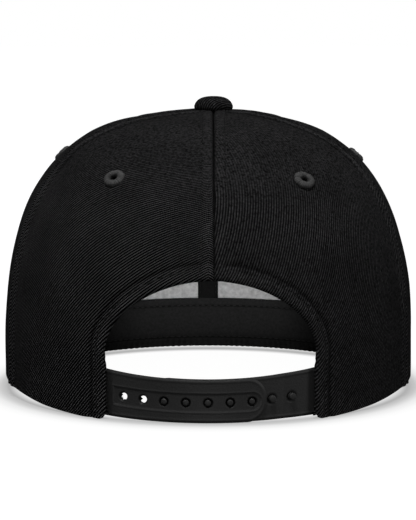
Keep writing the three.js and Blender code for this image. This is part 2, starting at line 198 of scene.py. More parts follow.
print("rim heights at 0, 60, 90, 180:", np.round(rim_height([0, 60, 90, 180]), 2), "brim tilt", round(float(BRIM_TILT), 4))

# %% [markdown]
# The arch over the strap is a doorway in the two back panels: straight sides that draw in a little at
# the foot, and a rounded head. It is given as a line from its top down to the rim, on either side.

# %% The arch's edge
ARCH_HALF, ARCH_TOP, ARCH_SPRING, ARCH_ROUND = 42.6, 56.7, 27.0, 1.9
ARCH_SHIFT = -1.0
ARCH_FOOT_IN = 0.5


def arch_line(sign, count=420):
    """Angles and profile angles along the arch's edge, evenly spaced, from the back seam down to the rim."""
    turn = np.linspace(np.pi / 2, 0, 600)
    x = ARCH_HALF * np.cos(turn) ** (2 / ARCH_ROUND)
    z = ARCH_SPRING + (ARCH_TOP - ARCH_SPRING) * np.sin(turn) ** (2 / ARCH_ROUND)
    down = np.linspace(ARCH_SPRING, 0, 120)[1:]
    x = np.concatenate([x, ARCH_HALF - ARCH_FOOT_IN * np.clip((ARCH_SPRING - down) / 9, 0, 1)])
    z = np.concatenate([z, down])
    x = sign * x + ARCH_SHIFT
    seam_x = -SEAM_DRIFT + sign * SEAT_GAP / 2
    if sign < 0:
        keep = x <= seam_x
        x, z = np.concatenate([[seam_x], x[keep]]), np.concatenate([[z[keep][0]], z[keep]])
    else:
        x, z = np.concatenate([[seam_x], x]), np.concatenate([[z[0]], z])
    across = (1 - (z / CROWN_HEIGHT) ** SIDE_FULLNESS) ** (1 / TOP_ROUNDNESS)
    angle = np.degrees(np.arcsin((x + SEAM_DRIFT * (1 - across)) / (HALF_WIDTH * across)))
    profile = profile_at(z)
    points = skin(angle, profile)
    run = np.concatenate([[0], np.cumsum(np.linalg.norm(np.diff(points, axis=0), axis=1))])
    even = np.linspace(0, run[-1], count)
    return np.interp(even, run, angle), np.interp(even, run, profile)


arch_angle, arch_profile = arch_line(1)
print("arch side at", round(float(arch_angle[-1]), 1), "degrees, top profile", round(float(arch_profile[0]), 1))

# %% [markdown]
# Soft cloth starts as a flat grid, as a pattern piece does, and its vertices are then laid on the form in
# code. A grid has no seams to close and takes a UV map in millimetres of cloth, so the weave keeps its
# size all over. These helpers make the grid, place it, turn its faces outwards and give it its wall.


# %% Helpers for sheets of cloth
def deselect():
    if bpy.context.object and bpy.context.object.mode != "OBJECT":
        bpy.ops.object.mode_set(mode="OBJECT")
    bpy.ops.object.select_all(action="DESELECT")


def pick(piece):
    deselect()
    piece.select_set(True)
    bpy.context.view_layer.objects.active = piece
    return piece


def corners(piece):
    flat = np.empty(len(piece.data.vertices) * 3)
    piece.data.vertices.foreach_get("co", flat)
    return flat.reshape(-1, 3)


def move_corners(piece, points):
    piece.data.vertices.foreach_set("co", np.ascontiguousarray(points, float).ravel())
    piece.data.update()


def apply(piece, kind, **settings):
    pick(piece)
    modifier = piece.modifiers.new(kind.title(), kind)
    for key, value in settings.items():
        setattr(modifier, key, value)
    bpy.ops.object.modifier_apply(modifier=modifier.name)


def flat_grid(name, columns, rows):
    """A unit grid on the table, with each vertex's place across and up it."""
    deselect()
    bpy.ops.mesh.primitive_grid_add(x_subdivisions=columns, y_subdivisions=rows, size=1)
    piece = bpy.context.object
    piece.name = piece.data.name = name
    share = corners(piece)[:, :2] + 0.5
    return piece, share[:, 0], share[:, 1]


UV_SPAN = 250.0  # millimetres of cloth across one unit of the UV map


def set_uv(piece, u, v):
    loops = np.empty(len(piece.data.loops), np.int32)
    piece.data.loops.foreach_get("vertex_index", loops)
    uv = np.stack([0.5 + u / UV_SPAN, v / UV_SPAN], axis=-1)[loops]
    piece.data.uv_layers.active.data.foreach_set("uv", uv.ravel())


def face_away(piece, centre):
    """Turns the faces so that they look away from a point, given in millimetres."""
    count = len(piece.data.polygons)
    normals, centres, areas = np.empty(count * 3), np.empty(count * 3), np.empty(count)
    piece.data.polygons.foreach_get("normal", normals)
    piece.data.polygons.foreach_get("center", centres)
    piece.data.polygons.foreach_get("area", areas)
    look = ((centres.reshape(-1, 3) - np.array(centre) * MM) * normals.reshape(-1, 3)).sum(1)
    if (look * areas).sum() < 0:
        pick(piece)
        bpy.ops.object.mode_set(mode="EDIT")
        bpy.ops.mesh.select_all(action="SELECT")
        bpy.ops.mesh.flip_normals()
        bpy.ops.object.mode_set(mode="OBJECT")


def smooth(piece, angle=50):
    pick(piece)
    bpy.ops.object.shade_smooth_by_angle(angle=math.radians(angle), keep_sharp_edges=False)


def crowd_ends(share, crowding):
    """Spreads even shares so that they lie closer together near 0 and 1."""
    return share - crowding / (2 * np.pi) * np.sin(2 * np.pi * share)


def triangles(piece):
    piece.data.calc_loop_triangles()
    return len(piece.data.loop_triangles)


HEAD_CENTRE = (0.0, CROWN_Y, 40.0)
made = {}
print("helpers ready, head centre", np.round(HEAD_CENTRE, 1))

# %% [markdown]
# Two layers of cloth meet at each seam. The edges are turned in, so the seam is a narrow groove, and the
# turned-in cloth lifts a flat band on both sides, held down by a row of top stitches. The arch has a
# folded hem with one row of stitches. The relief functions give these heights by distance in millimetres.

# %% Relief of seams and hems
SEAM_ROW = 5.2
HEM_ROW = 4.7
STITCH_PITCH = 3.0


def bump_at(distance, place, width):
    return np.exp(-(((distance - place) / width) ** 2))


def band(distance, width, slope):
    return 1 / (1 + np.exp((distance - width) / slope))


def seam_relief(distance, along, groove_width=0.55, pull=0.3):
    groove = -1.05 * bump_at(distance, 0, groove_width)
    uneven = 1 + 0.25 * np.sin(along / 3.1) * np.sin(along / 7.7 + 1)
    lifted = 0.3 * band(distance, 6.3, 0.25)
    puffed = 0.5 * uneven * np.clip(1 - ((distance - 2.4) / 2.7) ** 2, 0, 1)
    pulled = -pull * bump_at(distance, SEAM_ROW, 0.65) * (1 + 0.5 * np.cos(2 * np.pi * along / STITCH_PITCH))
    return groove + lifted + puffed + pulled


def hem_relief(distance, along):
    rolled = -0.55 * bump_at(distance, 0, 0.55)
    lifted = 0.45 * band(distance, 6.1, 0.25)
    uneven = 1 + 0.25 * np.sin(along / 4.3 + 2) * np.sin(along / 9.1)
    puffed = 0.4 * uneven * np.clip(1 - ((distance - 2.3) / 2.5) ** 2, 0, 1)
    pulled = -0.32 * bump_at(distance, HEM_ROW, 0.65) * (1 + 0.5 * np.cos(2 * np.pi * along / STITCH_PITCH))
    sunk = -0.4 * bump_at(distance, 7.3, 0.9)
    return rolled + lifted + puffed + pulled + sunk


def mark(piece, name, numbers):
    """Keeps a number per vertex for the finish: painted shade and highlight, darker below 0 and lighter above, or a
    share by which the ribs' painted light and dark fades into a coarser mottle.
    """
    numbers = np.broadcast_to(np.asarray(numbers, float), len(piece.data.vertices))
    piece.data.attributes.new(name, "FLOAT", "POINT").data.foreach_set("value", np.ascontiguousarray(numbers))


def slack(points):
    """Shallow undulation of soft cloth, from a few long waves."""
    x, y, z = points[:, 0], points[:, 1], points[:, 2]
    long_waves = 0.35 * np.sin(x / 19 + z / 31 + 1) * np.sin(y / 27 - z / 17)
    short_waves = 0.1 * np.sin(x / 6.3 - z / 8.1) * np.sin(y / 7.1 + z / 10.3 + 2)
    return long_waves + short_waves


def distance_to(points, line):
    """Distance of each point to a line of points, and the length along the line where it is nearest."""
    run = np.concatenate([[0], np.cumsum(np.linalg.norm(np.diff(line, axis=0), axis=1))])
    best, where = np.full(len(points), 1e9), np.zeros(len(points))
    for start in range(0, len(points), 4000):
        part = points[start : start + 4000]
        gaps = np.linalg.norm(part[:, None] - line[None], axis=2)
        nearest = gaps.argmin(1)
        best[start : start + 4000] = gaps[np.arange(len(part)), nearest]
        where[start : start + 4000] = run[nearest]
    return best, where


print("seam relief at 0, 3, 5.2, 9 mm:", np.round(seam_relief(np.array([0, 3, 5.2, 9.0]), np.zeros(4)), 2))

# %% [markdown]
# Side and front panels are gores: two long seams that meet at the top, and the rim below. The back panels
# have the arch cut out of one corner, so their grid runs from the arch's edge to the side seam instead,
# and its columns fan out from there to the button and down the seam.

# %% Layout of a panel's grid
TOP_RADIUS = 3.4
TOP_PROFILE = float(np.degrees(np.arccos((TOP_RADIUS / HALF_WIDTH) ** (TOP_ROUNDNESS / 2))))
FOOT_CORNER = 3.0  # radius of the panel's corner at the foot of the arch
TOP_SHARE = 0.25  # share of a back panel's columns that run up to the button


def gore_layout(zone, near, far, across, up):
    toward = np.sign(far - near)
    low = rise_of(profile_at(rim_height(near + (far - near) * across)), zone)
    high = rise_of(TOP_PROFILE, zone)
    profile = profile_of(low + (high - low) * up, zone)
    start = near + toward * SEAT_GAP / 2 / per_degree(near, profile)
    end = far - toward * SEAT_GAP / 2 / per_degree(far, profile)
    return start + (end - start) * across, profile


def rim_with_corner(angle, arch_foot):
    """Height of the rim behind the side seam, drawn up in a round corner at the foot of the arch."""
    away = np.clip(FOOT_CORNER - np.abs(angle - arch_foot) * per_degree(angle, 0.0), 0, None)
    return rim_height(angle) + FOOT_CORNER - np.sqrt(np.clip(FOOT_CORNER**2 - away**2, 0, None))


def back_layout(sign, along, out):
    """along: 0 at the back seam, 1 at the rim. out: 0 at the arch's edge, 1 at the top and the side seam."""
    edge_angle, edge_profile = arch_line(sign)
    edge_rise = rise_of(edge_profile)
    steps = np.linspace(0, 1, len(edge_angle))
    side = sign * (SIDE_SEAM - 0.1)
    top, foot = rise_of(TOP_PROFILE), rise_of(profile_at(rim_height(side)))
    start_angle, start_rise = np.interp(along, steps, edge_angle), np.interp(along, steps, edge_rise)
    end_angle = edge_angle[0] + (side - edge_angle[0]) * np.clip(along / TOP_SHARE, 0, 1)
    end_rise = top + (foot - top) * np.clip((along - TOP_SHARE) / (1 - TOP_SHARE), 0, 1)
    angle = start_angle + (end_angle - start_angle) * out
    rise = start_rise + (end_rise - start_rise) * out
    straight = edge_rise[-1] + (foot - edge_rise[-1]) * out
    rise = rise + along**12 * (rise_of(profile_at(rim_with_corner(angle, edge_angle[-1]))) - straight)
    return angle, profile_of(rise)


print("top ring profile", round(TOP_PROFILE, 2))

# %% [markdown]
# With the layout known, each panel is a grid laid on the crown, lifted by its relief and given a wall by
# Solidify. The UV map holds the cloth's own grain in millimetres. Flat cloth can't follow a dome without
# turning, so its grain turns away from the meridians towards the top, which the map has to repeat: the
# ribs then lie flat to the left of the back seam and stand nearly upright to the right of it.

# %% Grain of the cloth on a panel
GRAIN_START = {"back": 61.0, "side": 98.5, "front": 153.0}  # where the grain runs straight up the panel
grain_tables = {}
for zone, middle in MERIDIANS.items():
    width = per_degree(np.full(PROFILE_STEPS.shape, middle), PROFILE_STEPS, 0)
    grain_tables[zone] = np.clip(-np.degrees(np.gradient(width, rise_tables[zone])), 0, 1)


def grain_place(zone, side, angle, profile):
    """Millimetres across and up the grain, for a cloth that is laid without stretch from its middle."""
    sign, middle = SIDES[side], MERIDIANS[zone]
    pull = 14.0 if (zone, side) == ("back", "right") else 0.0
    drag = np.radians(pull * np.clip((rise_tables[zone] - 35) / 25, 0, 1))
    narrowing = grain_tables[zone]
    middle_turn = np.radians(narrowing * (GRAIN_START[zone] - middle)) + drag
    steps = np.diff(rise_tables[zone], prepend=0)
    aside = np.interp(profile, PROFILE_STEPS, np.cumsum(np.sin(middle_turn) * steps))
    upward = np.interp(profile, PROFILE_STEPS, np.cumsum(np.cos(middle_turn) * steps))
    middle_turn = np.interp(profile, PROFILE_STEPS, middle_turn)
    half_turn = np.radians(np.interp(profile, PROFILE_STEPS, narrowing) * (middle - np.abs(angle))) / 2
    away = per_degree(angle, profile, 0) * (middle - np.abs(angle)) * np.sinc(half_turn / np.pi)
    lean = middle_turn + half_turn
    return -sign * (aside - away * np.cos(lean)), upward + away * np.sin(lean)


print("turn of the grain for each degree round the head:", np.round(grain_tables["back"][[200, 400, 600]], 2))

# %% Lay the six panels
CLOTH_WALL = 1.4
EYELETS = {"back": (33.6, 94.8), "side": (97.6, 100.2), "front": (153.0, 98.0)}
EYELET_HOLE = 2.3
ZONE_EDGES = {"back": (-BACK_SEAM, SIDE_SEAM), "side": (SIDE_SEAM, FRONT_SEAM), "front": (FRONT_SEAM, 180.0)}


def seam_path(angle, foot=0.0, count=500):
    profile = profile_of(np.linspace(rise_of(profile_at(foot)), rise_tables["back"][-1], count))
    return skin(np.full(count, angle), profile)


def open_hole(piece, centre, radius):
    """Deletes the faces round a point of the cloth."""
    pick(piece)
    bpy.ops.object.mode_set(mode="EDIT")
    bpy.ops.mesh.select_all(action="DESELECT")
    bpy.ops.object.mode_set(mode="OBJECT")
    for face in piece.data.polygons:
        face.select = (Vector(face.center) / MM - Vector(centre)).length < radius
    bpy.ops.object.mode_set(mode="EDIT")
    bpy.ops.mesh.delete(type="FACE")
    bpy.ops.object.mode_set(mode="OBJECT")


def lay_panel(zone, side):
    sign = SIDES[side]
    near, far = (BACK_SEAM if zone == "back" else sign * ZONE_EDGES[zone][0]), sign * ZONE_EDGES[zone][1]
    piece, across, up = flat_grid(f"cloth_{zone}_{side}", 190 if zone == "back" else 96, 130)
    across, up = crowd_ends(across, 0.72), (crowd_ends(up, 0.72) if zone == "back" else up)
    layout = back_layout(sign, across, up) if zone == "back" else gore_layout(zone, near, far, across, up)
    angle, profile = layout
    bare = on_crown(angle, profile)
    sewn = 0 * angle
    for seam in (near, far):
        foot = ARCH_TOP if seam == BACK_SEAM else 0
        groove_width = 0.55 + 0.7 * np.clip((bare[:, 2] - 80) / 30, 0, 1) * (seam != BACK_SEAM)
        pull = 0.3 if seam == BACK_SEAM else 0.14
        sewn = sewn + seam_relief(*distance_to(bare, seam_path(seam, foot)), groove_width, pull)
    if zone == "back":
        sewn = sewn + hem_relief(*distance_to(bare, skin(*arch_line(sign))))
    relief = slack(bare) + sewn
    move_corners(piece, (bare + outward(angle, profile) * relief[:, None]) * MM)
    # Painted shade and highlight: the grooves of the seams and the hem are painted darker, the raised bands beside them
    # a little lighter.
    shade = np.clip(np.where(sewn < 0, 1.3 * sewn, 0.25 * sewn), -0.85, 0.25)
    # Near the top, the back panel gets a painted pale band along the side seam and a painted dark row at its stitches,
    # and the side panel a painted shade along that seam.
    upper = np.clip((bare[:, 2] - 82) / 16, 0, 1)
    from_side_seam = distance_to(bare, seam_path(sign * SIDE_SEAM))[0]
    if zone == "back":
        line = 0.7 * bump_at(from_side_seam, SEAM_ROW + 0.4, 0.8)
        shade = shade + upper * (0.3 * band(from_side_seam, SEAM_ROW - 0.6, 0.2) - line)
    elif zone == "side":
        shade = shade - 0.35 * upper * band(from_side_seam, 9, 1.5)
    mark(piece, "shade", np.clip(shade, -0.85, 0.6))
    # The ribs' painted light and dark is evened out on the right-hand panels, standing in for light that runs along
    # their ribs there, and fades towards the top into a coarser mottle.
    ribs_fade_at_top = np.clip((bare[:, 2] - 84) / 22, 0, 1)
    mark(piece, "nap", np.clip((0.0 if side == "left" else 0.45) + 0.8 * ribs_fade_at_top, 0, 0.85))
    set_uv(piece, *grain_place(zone, side, angle, profile))
    face_away(piece, HEAD_CENTRE)
    eyelet_angle, eyelet_height = EYELETS[zone]
    open_hole(piece, on_crown(sign * eyelet_angle, profile_at(eyelet_height)), EYELET_HOLE)
    apply(piece, "SOLIDIFY", thickness=CLOTH_WALL * MM, offset=-1)
    smooth(piece)
    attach(piece, "root")
    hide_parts(f"{zone}_panel_{side}")
    made[piece.name] = piece
    return piece


panels = [lay_panel(zone, side) for side in SIDES for zone in ZONES]
print("panels:", {piece.name: triangles(piece) for piece in panels})

# %% [markdown]
# The brim is a stiff board covered with the same twill and quilted by rows of stitches that run parallel
# to its outer edge. The board is one grid from root to edge, with its thickness from Solidify and its
# rounded edge from Bevel, and each row of stitches presses a shallow channel into the cloth.

# %% Make the brim
BRIM_ROWS = [3.5 + 6.4 * row for row in range(9)]


def brim_top(across, share):
    root = on_crown(180 + (180 - BRIM_END) * across, 0.0, -1.8)[..., :2]
    place = root + (brim_edge(-across) - root) * share[..., None]
    height = under_brim(place[..., 0], place[..., 1]) + BRIM_THICK
    return np.concatenate([place, height[..., None]], axis=-1)


board, across, share = flat_grid("brim_cloth", 200, 110)
across = 2 * across - 1
bare = brim_top(across, share)
edge_path = brim_top(np.linspace(-1, 1, 600), np.ones(600))
from_edge, along_edge = distance_to(bare, edge_path)
channels = sum(-0.35 * bump_at(from_edge, row, 0.9) for row in BRIM_ROWS)
bare[:, 2] += channels - 0.1 + 0.08 * np.sin(bare[:, 0] / 9) * np.sin(bare[:, 1] / 7)
move_corners(board, bare * MM)
set_uv(board, bare[:, 0], bare[:, 1] + 150)
face_away(board, (0, -100, -200))
apply(board, "SOLIDIFY", thickness=(BRIM_THICK - 0.3) * MM, offset=-1)
apply(board, "BEVEL", width=1.1 * MM, segments=3, limit_method="ANGLE", angle_limit=math.radians(60))
smooth(board)
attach(board, "root")
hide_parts("brim")
made["brim"] = board
print("brim:", triangles(board), "triangles, rows at", BRIM_ROWS, "mm from the edge")

# %% [markdown]
# Behind the front panels lies a stiff open-weave lining, grey here, that keeps the front upright. It is
# two gores like the panels, one wall deeper, and it stops short of the rim and of the seams.

# %% Make the front linings
LINING_DEPTH = 2.1


def lay_lining(side):
    sign = SIDES[side]
    piece, across, up = flat_grid(f"buckram_{side}", 44, 80)
    top = float(np.degrees(np.arccos((13.0 / HALF_WIDTH) ** (TOP_ROUNDNESS / 2))))
    near, far = sign * FRONT_SEAM, sign * 180.0
    foot = rise_of(profile_at(rim_height(near + (far - near) * across) + 8), "front")
    profile = profile_of(foot + (rise_of(top, "front") - foot) * up, "front")
    inset = sign / per_degree(near, profile)
    angle = near + inset + (far - near - 2 * inset) * across
    ripple = 0.12 * np.sin(angle / 2.3) * np.sin(profile / 3.1) - 0.15
    move_corners(piece, on_crown(angle, profile, -LINING_DEPTH + ripple) * MM)
    set_uv(piece, (near + far) / 2 * 0 + (153 * sign - angle) * per_degree(angle, profile), rise_of(profile, "front"))
    face_away(piece, HEAD_CENTRE)
    apply(piece, "SOLIDIFY", thickness=0.8 * MM, offset=-1)
    smooth(piece)
    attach(piece, "root")
    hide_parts(f"front_lining_{side}")
    made[piece.name] = piece
    return piece


linings = [lay_lining(side) for side in SIDES]
print("linings:", [triangles(piece) for piece in linings])

# %% [markdown]
# Inside the crown a narrow tape covers each seam. Each tape is a long grid laid along its seam, a little
# hollow along both stitched edges, and narrower towards the top where the six meet.

# %% Make the seam tapes
TAPE_WIDTH = 10.0
TAPES = {
    "front_centre": (180.0, 54.0, 3.4, 13.5),
    "back_centre": (BACK_SEAM, SIDE_SEAM, 2.1, ARCH_TOP + 0.3),
    "front_left": (FRONT_SEAM, 54.0, 3.4, 13.4),
    "front_right": (-FRONT_SEAM, 54.0, 3.4, 13.4),
    "back_left": (SIDE_SEAM, 55.0, 2.1, 12.6),
    "back_right": (-SIDE_SEAM, 55.0, 2.1, 12.6),
}


def lay_tape(name, seam, span, depth, foot):
    piece, across, up = flat_grid(f"tape_{name}", 16, 130)
    across = 2 * across - 1
    top = float(np.degrees(np.arccos((4.0 / HALF_WIDTH) ** (TOP_ROUNDNESS / 2))))
    low = rise_of(profile_at(foot))
    profile = profile_of(low + (rise_of(top) - low) * up)
    half = np.minimum(TAPE_WIDTH / 2 / per_degree(seam, profile), span / 2 - SEAT_GAP / per_degree(seam, profile))
    bulge = -0.25 * (1 - across**4) + 0.12 * bump_at(np.abs(across), 0.76, 0.08)
    angle = seam + half * across
    move_corners(piece, on_crown(angle, profile, -depth - 0.1 + bulge) * MM)
    set_uv(piece, across * half * per_degree(seam, profile), rise_of(profile))
    face_away(piece, HEAD_CENTRE)
    apply(piece, "SOLIDIFY", thickness=0.7 * MM, offset=-1)
    smooth(piece)
    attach(piece, "root")
    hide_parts(f"seam_tape_{name}")
    made[piece.name] = piece
    return piece


tapes = [lay_tape(name, *place) for name, place in TAPES.items()]
print("tapes:", [piece.name for piece in tapes])

# %% [markdown]
# The sweatband is sewn to the rim at its foot and leans inwards. Its top edge is folded over and held by
# one row of stitches, and the band gathers a little below the lower row, so fine puckers stand there.

# %% Length along the rim
RIM_STEPS = np.linspace(-180, 180, 2881)


def rim_run(depth):
    line = on_crown(RIM_STEPS, 0.0, -depth)
    run = np.concatenate([[0], np.cumsum(np.linalg.norm(np.diff(line, axis=0), axis=1))])
    return run - np.interp(0, RIM_STEPS, run)


def angle_at(length, depth):
    return np.interp(length, rim_run(depth), RIM_STEPS)


ARCH_ARC = 44.5
STRAP_END = ARCH_ARC + 12
print("arch half length along the rim", round(ARCH_ARC, 2))

# %% Make the sweatband
BAND_HEIGHT, BAND_FOOT, BAND_LEAN, BAND_WALL = 23.4, 2.0, 7.0, 1.4
BAND_DROP = 0.6  # the soft foot hangs a little below its seam
BAND_FOLD, BAND_ROW = 3.3, 4.9
band_start = float(angle_at(STRAP_END + 2, 1.8))
sweatband, around, up = flat_grid("sweatband_cloth", 760, 46)
angle = band_start + (360 - 2 * band_start) * around
turned = np.minimum(angle, 360 - angle)
on_board = np.clip((turned - BRIM_END + 12) / 18, 0, 1)
on_board = on_board**2 * (3 - 2 * on_board)
root = skin(turned, 0 * turned)
foot = (rim_height(turned) + 0.5) * (1 - on_board) + under_brim(root[:, 0], root[:, 1]) * on_board
foot = foot - BAND_DROP * on_board
rise = BAND_HEIGHT * up
lean = np.clip((rise - BAND_FOOT) / (BAND_LEAN - BAND_FOOT), 0, 1)
depth = 2.1 + 2.6 * lean + BAND_WALL * 0.35
arc = np.interp(np.where(angle > 180, angle - 360, angle), RIM_STEPS, rim_run(4.7)) + 400
from_top = BAND_HEIGHT - rise
inner = -0.35 * bump_at(from_top, 0, 0.7) + 0.25 * band(from_top, BAND_FOLD, 0.2) - 0.3 * bump_at(from_top, BAND_FOLD, 0.35)
gathered = np.clip((BAND_ROW - rise) / 1.5, 0, 1) * np.clip(rise / 1.2, 0, 1)
wave = np.sin(2 * np.pi * arc / 2.7 + 0.9 * np.sin(arc / 5)) * (0.7 + 0.3 * np.sin(arc / 3.3))
puckers = 0.25 * wave * gathered
inner = inner + puckers - 0.35 * bump_at(rise, BAND_ROW, 0.5) + 0.15 * np.sin(arc / 17) * up
height = foot + rise
move_corners(sweatband, on_crown(angle, profile_at(height), -depth - inner) * MM)
set_uv(sweatband, -arc % 200, rise)
# Painted shade and highlight: the stitched row, the fold and the foot are painted darker, one side of each pucker
# darker, and the folded strip at the top a little lighter.
painted_crease_shade = bump_at(rise, BAND_ROW, 0.5) + bump_at(from_top, BAND_FOLD, 0.5) + 0.5 * bump_at(rise, 0, 0.6)
mark(sweatband, "shade", np.clip(-0.75 * painted_crease_shade - 0.4 * np.clip(wave, 0, 1) * gathered + 0.12 * band(from_top, BAND_FOLD, 0.2), -0.85, 0.2))
face_away(sweatband, HEAD_CENTRE)
apply(sweatband, "SOLIDIFY", thickness=0.9 * MM, offset=-1)
smooth(sweatband)
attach(sweatband, "root")
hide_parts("sweatband")
made["sweatband"] = sweatband
print("sweatband:", triangles(sweatband), "triangles from", round(band_start, 1), "degrees")

# %% [markdown]
# The strap is moulded in two halves that lap at the middle: one pierced with seven holes, one with seven
# pegs. Each half is a strip with a thin raised border, a recessed channel along its snaps and a rounded
# end, and it bends round the rim. The strip is laid as a fine grid, because it carries its own relief.

# %% Shape of a strap half
STRAP_HEIGHT, STRAP_WALL, STRAP_LIFT = 17.5, 1.2, 0.1
STRAP_LAP, STRAP_ROUND = 23.6, 8.0
SNAP_PITCH, SNAPS = 8.8, 7
SNAP_ARCS = [SNAP_PITCH * (snap - 2) for snap in range(SNAPS)]
CHANNEL_HALF = 3.5
HOLE_RADIUS, HOLE_RIM = 1.4, 2.05  # the hole, and the rim of the funnel round it
STRAP_DEPTH = 2.5


def strap_bow(arc):
    return (arc / ARCH_ARC) ** 2


def strap_foot(arc):
    return STRAP_LIFT + 1.0 * strap_bow(arc)


def strap_head(arc):
    return STRAP_LIFT + STRAP_HEIGHT + 2.6 * strap_bow(arc)


def snap_level(arc):
    return 8.2 + 1.9 * strap_bow(arc)


def strap_place(arc, height, depth):
    point = on_crown(angle_at(arc, STRAP_DEPTH), 0.0, -np.asarray(depth, float))
    point[..., 2] = height
    return point


def drop_corners(piece, doomed):
    pick(piece)
    bpy.ops.object.mode_set(mode="EDIT")
    bpy.ops.mesh.select_mode(type="VERT")
    bpy.ops.mesh.select_all(action="DESELECT")
    bpy.ops.object.mode_set(mode="OBJECT")
    piece.data.vertices.foreach_set("select", doomed)
    bpy.ops.object.mode_set(mode="EDIT")
    bpy.ops.mesh.delete(type="VERT")
    bpy.ops.object.mode_set(mode="OBJECT")


def lay_strap(name, sign, depth_of, holes):
    piece, share, up = flat_grid(name, 360 if len(holes) else 260, 84 if len(holes) else 64)
    round_share = 0.08
    from_tip = np.where(
        share < round_share,
        STRAP_ROUND * (1 - np.cos(np.clip(share / round_share, 0, 1) * np.pi / 2)),
        STRAP_ROUND + (STRAP_LAP + STRAP_END - STRAP_ROUND) * (share - round_share) / (1 - round_share),
    )
    trim = STRAP_ROUND - np.sqrt(np.clip(STRAP_ROUND**2 - np.clip(STRAP_ROUND - from_tip, 0, None) ** 2, 0, None))
    lap = -STRAP_LAP + from_tip
    low, high = strap_foot(lap) + trim, strap_head(lap) - trim
    height = low + (high - low) * crowd_ends(up, 0.55)
    tip_line = np.stack([STRAP_ROUND - from_tip, np.abs(height - (strap_foot(lap) + strap_head(lap)) / 2)], axis=-1)
    half = (strap_head(lap) - strap_foot(lap)) / 2
    corner = np.hypot(np.clip(tip_line[:, 0], 0, None), np.clip(tip_line[:, 1] - half + STRAP_ROUND, 0, None))
    from_edge = np.where(from_tip < STRAP_ROUND, np.minimum(STRAP_ROUND - corner, half - tip_line[:, 1]), half - tip_line[:, 1])
    relief = 0.1 * bump_at(from_edge, 1.1, 0.5) - 0.3 * bump_at(from_edge, 0, 0.5)
    off = np.abs(height - snap_level(lap))
    if len(holes):
        past = np.hypot(np.clip(-17.6 - lap, 0, None), off)
        in_channel = np.minimum(CHANNEL_HALF - past, 39.5 - lap)
        relief = relief - 0.22 / (1 + np.exp(-in_channel / 0.14)) + 0.1 * bump_at(in_channel, -0.5, 0.3)
    else:
        for snap in SNAP_ARCS:
            away = np.hypot(lap - snap, height - snap_level(snap))
            relief = relief - 0.45 * band(away, 2.1, 0.1)
    for snap in holes:
        away = np.hypot(lap - snap, height - snap_level(snap))
        relief = relief - 0.95 * np.clip((HOLE_RIM - away) / 0.55, 0, 1)
    depth = depth_of(lap) + 0.15
    point = strap_place(sign * lap, height, depth)
    normal = outward(angle_at(sign * lap, STRAP_DEPTH), 0 * lap)
    move_corners(piece, (point + normal * relief[:, None]) * MM)
    set_uv(piece, -sign * lap, height)
    face_away(piece, HEAD_CENTRE)
    # Painted shade: the funnel round each hole and the seat round each peg are painted near black.
    sunk = sum(band(np.hypot(lap - snap, height - snap_level(snap)), 2.0, 0.1) for snap in SNAP_ARCS)
    mark(piece, "shade", -0.85 * np.clip(sunk, 0, 1))
    kept = np.ones(len(lap), bool)
    for snap in holes:
        away = np.hypot(lap - snap, height - snap_level(snap))
        inside = away < HOLE_RADIUS
        kept &= ~(away < HOLE_RADIUS - 0.32)
        rounded = inside & (away >= HOLE_RADIUS - 0.32)
        stretch = HOLE_RADIUS / np.maximum(away[rounded], 0.1)
        lap_there = snap + (lap[rounded] - snap) * stretch
        height_there = snap_level(snap) + (height[rounded] - snap_level(snap)) * stretch
        moved = strap_place(sign * lap_there, height_there, depth[rounded]) + normal[rounded] * relief[rounded, None]
        points = corners(piece)
        points[rounded] = moved * MM
        move_corners(piece, points)
    drop_corners(piece, ~kept)
    apply(piece, "SOLIDIFY", thickness=(STRAP_WALL - 0.15) * MM, offset=-1)
    smooth(piece, 40)
    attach(piece, "root")
    made[name] = piece
    return piece


def outer_depth(lap):
    return 2.5 - 1.5 * np.clip(1 - strap_bow(lap), 0, 1)


def inner_depth(lap):
    return outer_depth(lap) + 1.5 * np.clip((ARCH_ARC - lap) / (ARCH_ARC - 31.6), 0, 1)


pierced = lay_strap("strap_pierced", 1, outer_depth, SNAP_ARCS)
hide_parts("strap_with_holes")
pegged = lay_strap("strap_pegged", -1, inner_depth, [])
print("strap halves:", triangles(pierced), triangles(pegged))

# %% Pegs of the inner half
def stand(piece, place, direction):
    """Puts a piece modelled about the origin, +Z outwards and +X level, at a place on the cap."""
    outer = np.array(direction) / np.linalg.norm(direction)
    level = np.cross([0, 0, 1], outer)
    level /= np.linalg.norm(level)
    points = corners(piece) @ np.stack([level, np.cross(outer, level), outer]) + np.array(place) * MM
    move_corners(piece, points)


def make_peg(lap):
    deselect()
    radius = 1.24 if -STRAP_LAP < -lap < STRAP_LAP else 1.5
    bpy.ops.mesh.primitive_cylinder_add(vertices=32, radius=radius * MM, depth=2.6 * MM, location=(0, 0, 0))
    peg = bpy.context.object
    apply(peg, "BEVEL", width=0.55 * MM, segments=5, limit_method="ANGLE", angle_limit=math.radians(50))
    depth = float(inner_depth(np.array(lap)))
    place = strap_place(np.array(-lap), snap_level(lap), depth)
    normal = outward(angle_at(-lap, STRAP_DEPTH), np.array(0.0))
    stand(peg, place + 0.1 * normal, normal)
    smooth(peg, 60)
    return peg


pegs = [make_peg(lap) for lap in SNAP_ARCS]
pick(pegged)
for peg in pegs:
    peg.select_set(True)
bpy.ops.object.join()
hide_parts("strap_with_pegs")
print("pegs at", [round(lap, 1) for lap in SNAP_ARCS], "mm from the middle")

# %% [markdown]
# An eyelet is worked in thick thread round a small hole: a low ring of close, radial stitches. A torus is
# flattened, its threads are cut as fine ridges, and the ring is laid on the cloth round the hole.

# %% Make the eyelets
EYELET_CREST, EYELET_THICK = 2.65, 1.4


